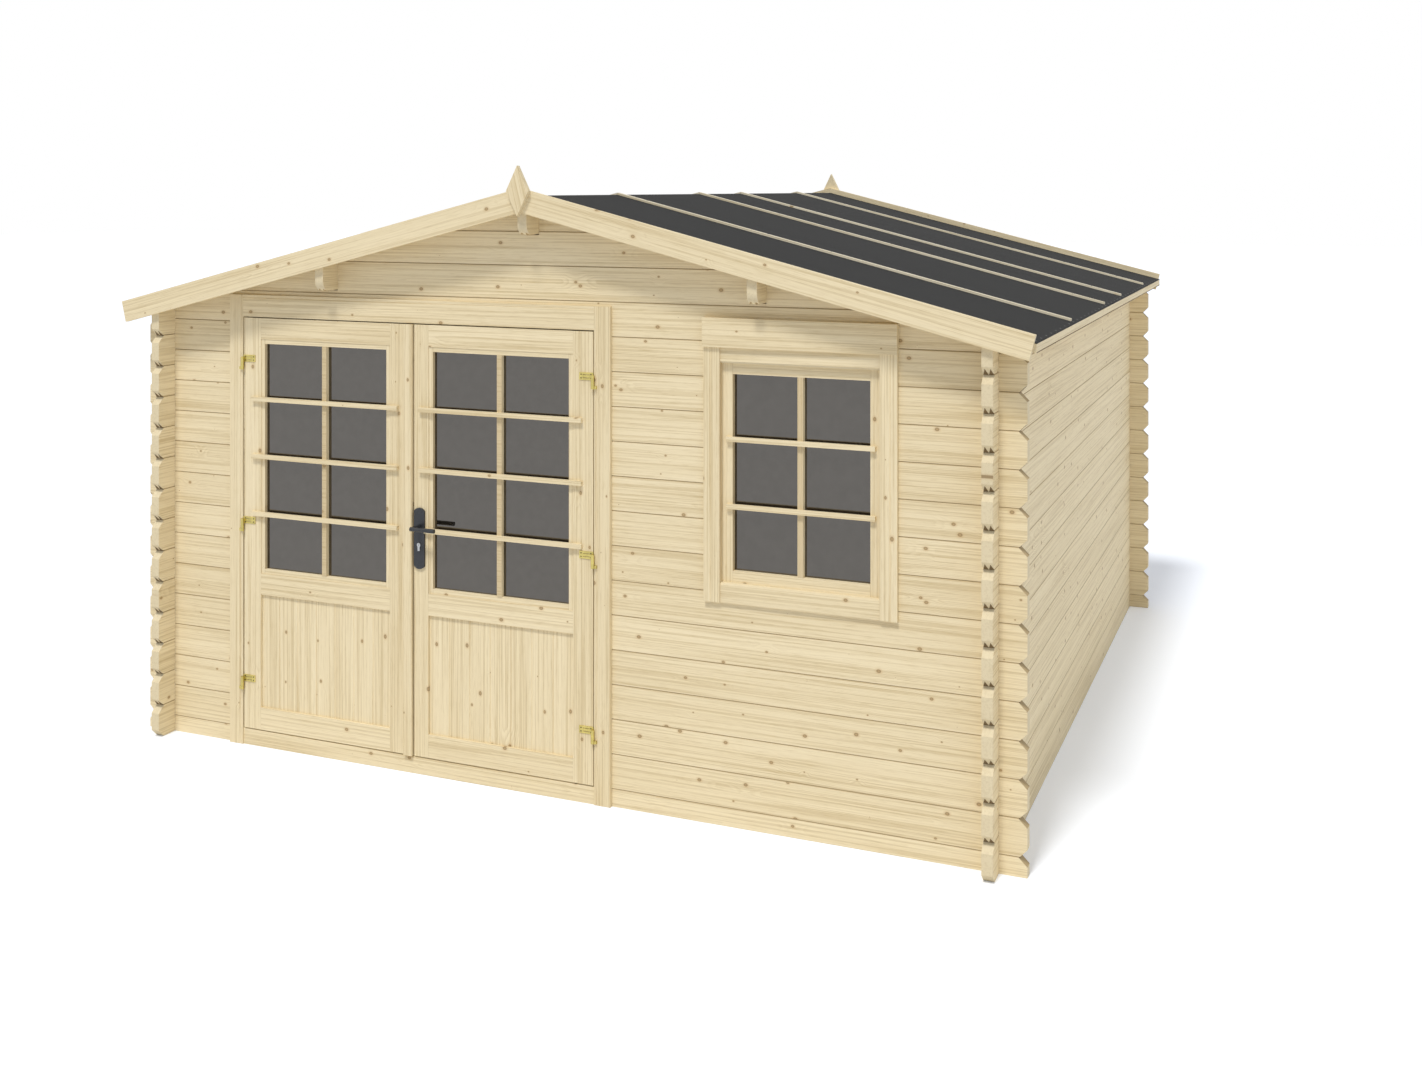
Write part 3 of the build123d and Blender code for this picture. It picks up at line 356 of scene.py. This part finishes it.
# Frames made as one solid: along one axis, how far in from both faces of the node its level
# boards begin and end
LEVEL_BOARDS = {
    "window_sash": (0, 0.042, 0.042),
    "window_frame": (0, 0.066, 0.066),
    "left_door_beads": (0, 0.0197, 0.0197),
    "right_door_beads": (0, 0.0197, 0.0197),
    "left_door_bars": (1, -0.001, 0.0177),
    "right_door_bars": (1, -0.001, 0.0177),
    "window_bars": (1, -0.001, 0.0217),
}
UPRIGHT = np.array(((0.0, 0.0, 1.0), (1.0, 0.0, 0.0), (0.0, 1.0, 0.0)))
UPRIGHT_NODES = {*LEVEL_BOARDS, "left_door_panel", "right_door_panel"}

# Values past 1 keep a point out of that box, and a large divisor keeps it in along an axis
NOWHERE = 9.0
EVERYWHERE = 100.0

# How far a face's normal leans along its board on end grain and on end bevels. The slopes of
# tongues and grooves hardly lean, rise between two shares and get nearly the full painted joint shade.
END_LEAN = 0.6
BEVEL_LEAN = 0.5
SLOPE_LEAN = 0.1
SLOPE_RISE = (0.5, 0.85)
SLOPE_SHADE = 0.9

# Ranges of each board's shift along, across and through its grain, and how much smaller a turned
# box has to be before a board counts as turned
GRAIN_SHIFTS = ((0, 30), (-0.03, 0.03), (-0.02, 0.02))
TURN_MARGIN = 0.02


def level_places(name, places):
    """Where each point lies in the box of a frame's level boards: -1 to 1 along each axis inside."""
    if name not in LEVEL_BOARDS:
        return np.full_like(places, NOWHERE)
    axis, near, far = LEVEL_BOARDS[name]
    low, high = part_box(name)
    start, end = low[axis] + near, high[axis] - far
    inside = np.array(places) / EVERYWHERE
    inside[:, axis] = (places[:, axis] - (start + end) / 2) / ((end - start) / 2)
    return inside


def joint_shade_share(name, normal, along):
    """How much painted joint shade a log's face gets: tongues, grooves and the upward end bevels of
    front and back logs.
    """
    if not name.endswith(("_logs", "_log", "_purlin")):
        return 0.0
    lengthwise = abs(normal.dot(along))
    if lengthwise < SLOPE_LEAN and SLOPE_RISE[0] < abs(normal.z) < SLOPE_RISE[1]:
        return SLOPE_SHADE
    return float(min(lengthwise, normal.z, abs(normal.x)) > BEVEL_LEAN)


def lay_grain(obj, seed):
    """Gives every board of a mesh its own grain direction, offset and tone."""
    mesh = obj.data
    places, groups = solids_of(mesh)
    grain = np.zeros_like(places)
    tone = np.zeros(len(places), np.float32)
    along = np.zeros_like(places)
    for number, group in enumerate(groups):
        draw = random.Random(f"{seed} {number}")
        points = places[group]
        spans = [np.ptp(points @ axes.T, axis=0) for axes in BOARD_AXES]
        sizes = [span.prod() * (1.0 + TURN_MARGIN * choice) for choice, span in enumerate(spans)]
        best = sizes.index(min(sizes))
        order = np.argsort(-spans[best])
        axes = UPRIGHT if seed in UPRIGHT_NODES else BOARD_AXES[best][order]
        local = (points - (points.max(0) + points.min(0)) / 2) @ axes.T
        grain[group] = local + np.array([draw.uniform(*reach) for reach in GRAIN_SHIFTS])
        tone[group] = draw.uniform(-1, 1)
        along[group] = axes[0]
    mesh.attributes.new("grain", "FLOAT_VECTOR", "POINT").data.foreach_set("vector", grain.reshape(-1))
    mesh.attributes.new("tone", "FLOAT", "POINT").data.foreach_set("value", tone)
    facings = [
        (polygon.normal.copy(), Vector(along[polygon.vertices[0]])) for polygon in mesh.polygons
    ]
    ends = [float(abs(normal.dot(board)) > END_LEAN) for normal, board in facings]
    mesh.attributes.new("end_grain", "FLOAT", "FACE").data.foreach_set("value", ends)
    # Painted joint shade: which faces of a log are darkened as if shaded in its joints
    joint_shades = [joint_shade_share(seed, normal, board) for normal, board in facings]
    mesh.attributes.new("joint_shade", "FLOAT", "FACE").data.foreach_set("value", joint_shades)
    inside = level_places(seed, places)
    mesh.attributes.new("level", "FLOAT_VECTOR", "POINT").data.foreach_set("vector", inside.reshape(-1))


def dress(obj, material):
    """Puts one material on a node or piece."""
    obj.data.materials.clear()
    obj.data.materials.append(material)


PINE = pine("planed_pine", PINE_LIGHT, PINE_DARK)
PALE_PINE = pine("pale_pine", PALE_LIGHT, PALE_DARK)
FINISHES = {
    "felt": felt(),
    "glass": glass(),
    "brass": metal("plated_brass", BRASS, 0.3, 0.9, 0.75),
    "black_metal": metal("black_coat", HANDLE_BLACK, 0.38, 0.0, 0.75),
    "steel": metal("brushed_steel", STEEL, 0.3, 1.0, 0.8),
}
# Dark screw heads, and the painted shade of the keyhole
DARK_SCREWS_AND_KEYHOLE_SHADE = metal("dark_screws_and_keyhole_shade", SCREW_AND_KEYHOLE_BROWN, 0.45, 0.6, 0.6)
NAIL_STEEL = metal("nail_head", NAIL_GREY, 0.5, 0.5, 0.8)
node_slot = {part["node"]: part["material_slot"] for part in frame["record"]["subparts"]}
for name, obj in nodes.items():
    finish = FINISHES.get(node_slot.get(name))
    if finish is None:
        lay_grain(obj, name)
        finish = PALE_PINE if name.startswith("roof_battens") else PINE
    dress(obj, finish)


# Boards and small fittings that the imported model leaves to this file

class Pile:
    """Corners and faces of several closed prisms, gathered for one piece."""

    def __init__(self):
        self.corners = []
        self.faces = []

    def prism(self, start, end):
        """Prism between two outlines with the same number of corners."""
        first = len(self.corners)
        count = len(start)
        self.corners += [tuple(corner) for corner in start] + [tuple(corner) for corner in end]
        self.faces.append(tuple(range(first, first + count)))
        self.faces.append(tuple(range(first + count, first + 2 * count)))
        for index in range(count):
            here, after = first + index, first + (index + 1) % count
            self.faces.append((here, after, after + count, here + count))

    def disc(self, centre, facing, radius, height, sides=12, top_share=1.0):
        """Round head that stands on a surface, its top narrowed to a share of its radius."""
        facing = Vector(facing).normalized()
        side_way = facing.orthogonal().normalized()
        other_way = facing.cross(side_way)
        turns = [2 * math.pi * step / sides for step in range(sides)]
        rim = [side_way * math.cos(turn) + other_way * math.sin(turn) for turn in turns]
        centre = Vector(centre)
        self.prism(
            [centre + spoke * radius for spoke in rim],
            [centre + facing * height + spoke * radius * top_share for spoke in rim],
        )

    def piece(self, name, material, body="root"):
        """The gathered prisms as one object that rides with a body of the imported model."""
        mesh = bpy.data.meshes.new(name)
        mesh.from_pydata(self.corners, [], self.faces)
        shell = bmesh.new()
        shell.from_mesh(mesh)
        bmesh.ops.recalc_face_normals(shell, faces=shell.faces)
        shell.to_mesh(mesh)
        shell.free()
        obj = bpy.data.objects.new(name, mesh)
        bpy.context.scene.collection.objects.link(obj)
        if material is PINE:
            lay_grain(obj, name)
        dress(obj, material)
        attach(obj, body)
        return obj


# Painted shade in the mouths of the grooves in the bevelled log ends: two dark points over each joint,
# thin plates on the bevel
LOG_HEIGHT = 0.135
LOG_THICKNESS = 0.04
WALL_ROWS = 14
WALL_CENTRE = 1.83
BEVEL_FOOT = 1.92
POINT_HEIGHT = 0.023
POINT_HALF_WIDTH = 0.0092
POINT_DEPTH = 0.0005
POINT_OUTLINE = ((-POINT_HALF_WIDTH, 0.0), (POINT_HALF_WIDTH, 0.0), (0.0, POINT_HEIGHT))


def point_layer(across_axis, middle, end, joint_height, proud):
    """Outline of one point of painted groove shade on the sloping bevel, so far proud of it."""
    outline = []
    for across, up in POINT_OUTLINE:
        corner = [0.0, 0.0, joint_height + up - proud]
        corner[across_axis] = middle + across
        corner[1 - across_axis] = end * (BEVEL_FOOT + up + proud)
        outline.append(corner)
    return outline


side_joints = [row * LOG_HEIGHT for row in range(1, WALL_ROWS)]
cross_joints = [(row + 0.5) * LOG_HEIGHT for row in range(WALL_ROWS)]
groove_shadows = Pile()
for across_axis, joint_shades in enumerate((side_joints, cross_joints)):
    for joint_height, wall, end, half in itertools.product(joint_shades, (-1, 1), (-1, 1), (-1, 1)):
        middle = wall * WALL_CENTRE + half * LOG_THICKNESS / 4
        place = (across_axis, middle, end, joint_height)
        groove_shadows.prism(point_layer(*place, -POINT_DEPTH), point_layer(*place, POINT_DEPTH))
# One dark material for all painted shade: the groove mouths here, and the strips under the eave boards
PAINTED_SHADE = metal("painted_shade", SHADE_BROWN, 0.85, 0.0, 0.8)
groove_shadows.piece("log_end_grooves", PAINTED_SHADE)

# Roof deck: boards from the ridge to each eave, with an open joint on their underside
DECK_THICKNESS = 0.018
DECK_BOARDS = 44
BOARD_GAP = 0.0002
JOINT_BEVEL = 0.003
for word in ("left", "right"):
    low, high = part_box("roof_deck_" + word)
    eave_x, ridge_x = (low[0], high[0]) if word == "left" else (high[0], low[0])
    rise = DECK_THICKNESS / math.cos(ROOF_PITCH)
    undersides = ((ridge_x, high[2] - rise), (eave_x, low[2]))
    board_step = (high[1] - low[1]) / DECK_BOARDS
    boards = Pile()
    for number in range(DECK_BOARDS):
        near = low[1] + number * board_step + BOARD_GAP
        far = low[1] + (number + 1) * board_step - BOARD_GAP
        outline = (
            (near, rise),
            (near, JOINT_BEVEL),
            (near + JOINT_BEVEL, 0.0),
            (far - JOINT_BEVEL, 0.0),
            (far, JOINT_BEVEL),
            (far, rise),
        )
        boards.prism(*[[(x, y, z + up) for y, up in outline] for x, z in undersides])
    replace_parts(boards.piece("roof_boards_" + word, PINE), "roof_deck_" + word)

# Painted shadow: a thin dark line along the foot of each eave board, as the shade under it
STRIP_HEIGHT = 0.0035
STRIP_PROUD = 0.0006
for word, side in (("left", -1), ("right", 1)):
    low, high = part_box("eave_board_" + word)
    face = low[0] if word == "left" else high[0]
    foot = low[2] + STRIP_PROUD
    top = foot + STRIP_HEIGHT
    outline = ((low[1], foot), (high[1], foot), (high[1], top), (low[1], top))
    proud = side * STRIP_PROUD
    shadow_strip = Pile()
    shadow_strip.prism(*[[(x, y, z) for y, z in outline] for x in (face - proud, face + proud)])
    shadow_strip.piece("eave_strip_" + word, PAINTED_SHADE)

# Floor: boards across the bearers
FLOOR_BOARDS = 41
EDGE_BEVEL = 0.0012
low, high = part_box("floor_deck")
board_step = (high[1] - low[1]) / FLOOR_BOARDS
boards = Pile()
for number in range(FLOOR_BOARDS):
    near = low[1] + number * board_step + BOARD_GAP
    far = low[1] + (number + 1) * board_step - BOARD_GAP
    outline = (
        (near, low[2]),
        (far, low[2]),
        (far, high[2] - EDGE_BEVEL),
        (far - EDGE_BEVEL, high[2]),
        (near + EDGE_BEVEL, high[2]),
        (near, high[2] - EDGE_BEVEL),
    )
    boards.prism([(low[0], y, z) for y, z in outline], [(high[0], y, z) for y, z in outline])
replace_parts(boards.piece("floor_boards", PINE), "floor_deck")

# Screws of the hinges, dark against the plates
HINGE_HEIGHTS = (0.288, 0.970, 1.668)
HINGE_PLATE = 0.003
BARREL_RADIUS = 0.007
SCREW_RADIUS = 0.003
SCREW_HEIGHT = 0.0006
SCREW_PLACES = ((0.0108, 0.008), (0.0108, -0.008), (0.054, 0.007), (0.054, -0.007))
for word, side in (("left", 1), ("right", -1)):
    low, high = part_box(word + "_door_hinges")
    pin_x = low[0] + BARREL_RADIUS if word == "left" else high[0] - BARREL_RADIUS
    plate_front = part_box(word + "_door_frame")[0][1] - HINGE_PLATE
    screws = Pile()
    for height in HINGE_HEIGHTS:
        for along, up in SCREW_PLACES:
            place = (pin_x + side * along, plate_front, height + up)
            screws.disc(place, (0, -1, 0), SCREW_RADIUS, SCREW_HEIGHT, 12, 0.7)
    screws.piece(word + "_hinge_screws", DARK_SCREWS_AND_KEYHOLE_SHADE, word + "_door")

# Screws of the handle plates, and the keyhole of the lock on its round plug: a thin dark plate of
# painted shade, with no hole behind it
PLATE_SCREW_INSET = 0.02
PLATE_SCREW_RADIUS = 0.0038
PLATE_SCREW_HEIGHT = 0.0007
PLUG_RADIUS = 0.0062
PLUG_HEIGHT = 0.0005
KEYHOLE_HALF_WIDTH = 0.0006
KEYHOLE_HALF_HEIGHT = 0.004
KEYHOLE_START = 0.0004
KEYHOLE_END = 0.0006
low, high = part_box("right_door_handle_plates")
plate_x = (low[0] + high[0]) / 2
screws = Pile()
for height in (low[2] + PLATE_SCREW_INSET, high[2] - PLATE_SCREW_INSET):
    for face, step in ((low[1], -1), (high[1], 1)):
        head = ((plate_x, face, height), (0, step, 0), PLATE_SCREW_RADIUS, PLATE_SCREW_HEIGHT)
        screws.disc(*head, 16, 0.75)
screws.piece("handle_plate_screws", FINISHES["black_metal"], "right_door")
low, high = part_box("right_door_lock_cylinder")
plug_height = high[2] - (high[0] - low[0]) / 2
left, right = plate_x - KEYHOLE_HALF_WIDTH, plate_x + KEYHOLE_HALF_WIDTH
foot, top = plug_height - KEYHOLE_HALF_HEIGHT, plug_height + KEYHOLE_HALF_HEIGHT
outline = ((left, foot), (right, foot), (right, top), (left, top))
plug = Pile()
keyhole_shade = Pile()
for face, step in ((low[1], -1), (high[1], 1)):
    plug.disc((plate_x, face, plug_height), (0, step, 0), PLUG_RADIUS, PLUG_HEIGHT, 20, 0.95)
    near, far = face + step * KEYHOLE_START, face + step * KEYHOLE_END
    keyhole_shade.prism([(x, near, z) for x, z in outline], [(x, far, z) for x, z in outline])
plug.piece("lock_plug", FINISHES["steel"], "right_door")
keyhole_shade.piece("lock_keyhole", DARK_SCREWS_AND_KEYHOLE_SHADE, "right_door")

# Nails: through the battens, and along the eaves of the felt
BATTEN_NAIL_STEP = 0.3
BATTEN_NAIL_RADIUS = 0.0032
BATTEN_NAIL_HEIGHT = 0.0005
FELT_NAIL_STEP = 0.1
FELT_NAIL_RADIUS = 0.0045
FELT_NAIL_HEIGHT = 0.0006
FELT_NAIL_INSET = 0.012
for word, side in (("left", -1), ("right", 1)):
    felt_low, felt_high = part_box("roof_felt_" + word)
    low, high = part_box("roof_battens_" + word)
    outward = Vector((side * math.sin(ROOF_PITCH), 0, math.cos(ROOF_PITCH)))
    down = Vector((side * math.cos(ROOF_PITCH), 0, -math.sin(ROOF_PITCH)))
    nails = Pile()
    ridge_x = high[0] if word == "left" else low[0]
    batten_length = (high[0] - low[0]) / math.cos(ROOF_PITCH)
    count = round(batten_length / BATTEN_NAIL_STEP)
    for row in BATTEN_ROWS:
        for number in range(count):
            along = batten_length * (number + 0.5) / count
            place = Vector((ridge_x, row, high[2])) + down * along
            nails.disc(place, outward, BATTEN_NAIL_RADIUS, BATTEN_NAIL_HEIGHT, 8, 0.8)
    ridge_x = felt_high[0] if word == "left" else felt_low[0]
    slope_length = (felt_high[0] - felt_low[0]) / math.cos(ROOF_PITCH)
    eave_length = felt_high[1] - felt_low[1]
    count = round(eave_length / FELT_NAIL_STEP)
    for number in range(count):
        row = felt_low[1] + eave_length * (number + 0.5) / count
        place = Vector((ridge_x, row, felt_high[2])) + down * (slope_length - FELT_NAIL_INSET)
        nails.disc(place, outward, FELT_NAIL_RADIUS, FELT_NAIL_HEIGHT, 8, 0.8)
    nails.piece("roof_nails_" + word, NAIL_STEEL)


# Camera

camera_data = bpy.data.cameras.new("camera")
camera_data.sensor_fit = "HORIZONTAL"
camera_data.sensor_width = SENSOR_WIDTH
camera_data.lens = FOCAL_PIXELS / PHOTO_WIDTH * SENSOR_WIDTH
camera_data.shift_y = (HORIZON_ROW - PHOTO_HEIGHT / 2) / PHOTO_WIDTH
camera = bpy.data.objects.new("camera", camera_data)
camera.location = CAMERA_PLACE
camera.rotation_euler = (math.pi / 2, 0, CAMERA_TURN)
bpy.context.scene.collection.objects.link(camera)
bpy.context.scene.camera = camera


# Studio: a pale floor that keeps the shadow, a soft sky and a white background
FLOOR_REACH = 60.0
FLOOR_DROP = 0.0005
FLOOR_COLOUR = (0.8, 0.8, 0.8, 1.0)
FLOOR_SEEN = (0.88, 0.92, 1.0, 1.0)
FLOOR_GLOW = 0.14
SKY_COLOUR = (0.96, 0.97, 1.0, 1.0)
SKY_STRENGTH = 0.37


def plain_light_share(s):
    """1 for a ray from the camera, a reflection or a pane, 0 for light on the object."""
    paths = s.add("LightPath").node
    seen = s.math("MAXIMUM", paths.outputs["Is Camera Ray"], paths.outputs["Is Glossy Ray"])
    return s.math("MAXIMUM", seen, paths.outputs["Is Transmission Ray"])


def floor_material():
    """Plain to light on the object, and near white with a bluish shadow to the camera."""
    s = new_material("studio_floor")
    share = plain_light_share(s)
    plain = s.add("BsdfDiffuse", {"Color": FLOOR_COLOUR})
    shadow = s.add("BsdfDiffuse", {"Color": FLOOR_SEEN})
    glow = s.add("Emission", {"Color": WHITE, "Strength": FLOOR_GLOW})
    seen = s.add("AddShader", {0: shadow, 1: glow})
    return s.finish(s.add("MixShader", {0: share, 1: plain, 2: seen}))


floor_mesh = bpy.data.meshes.new("studio_floor")
floor_corners = [(x * FLOOR_REACH, y * FLOOR_REACH, 0) for x, y in ((-1, -1), (1, -1), (1, 1), (-1, 1))]
floor_mesh.from_pydata(floor_corners, [], [(0, 1, 2, 3)])
floor = bpy.data.objects.new("studio_floor", floor_mesh)
floor.location.z = cad_low[2] - FLOOR_DROP
bpy.context.scene.collection.objects.link(floor)
dress(floor, floor_material())

world = bpy.data.worlds.new("studio_sky")
bpy.context.scene.world = world
sky = Shader(world, "OutputWorld")
soft_sky = sky.add("Background", {"Color": SKY_COLOUR, "Strength": SKY_STRENGTH})
white_sky = sky.add("Background", {"Color": WHITE, "Strength": 1.0})
sky.finish(sky.add("MixShader", {0: plain_light_share(sky), 1: soft_sky, 2: white_sky}))

# Lamps: the sun from the front, and paler sky on the right and at the back. Each has its name,
# strength, spread in degrees, colour and the way to it from the object.
LAMPS = (
    ("sun", 1.95, 10, (1.0, 0.985, 0.955), (-0.1, -1.0, 1.8)),
    ("side_sky", 0.66, 100, (0.92, 0.96, 1.0), (1.0, -0.15, 0.5)),
    ("back_sky", 0.35, 120, (0.95, 0.97, 1.0), (-0.7, 1.0, 0.6)),
)
for lamp_name, energy, spread, colour, way in LAMPS:
    lamp_data = bpy.data.lights.new(lamp_name, "SUN")
    lamp_data.energy = energy
    lamp_data.angle = math.radians(spread)
    lamp_data.color = colour
    lamp = bpy.data.objects.new(lamp_name, lamp_data)
    lamp.rotation_euler = Vector(way).to_track_quat("Z", "Y").to_euler()
    bpy.context.scene.collection.objects.link(lamp)

bpy.context.scene.view_settings.view_transform = "Standard"
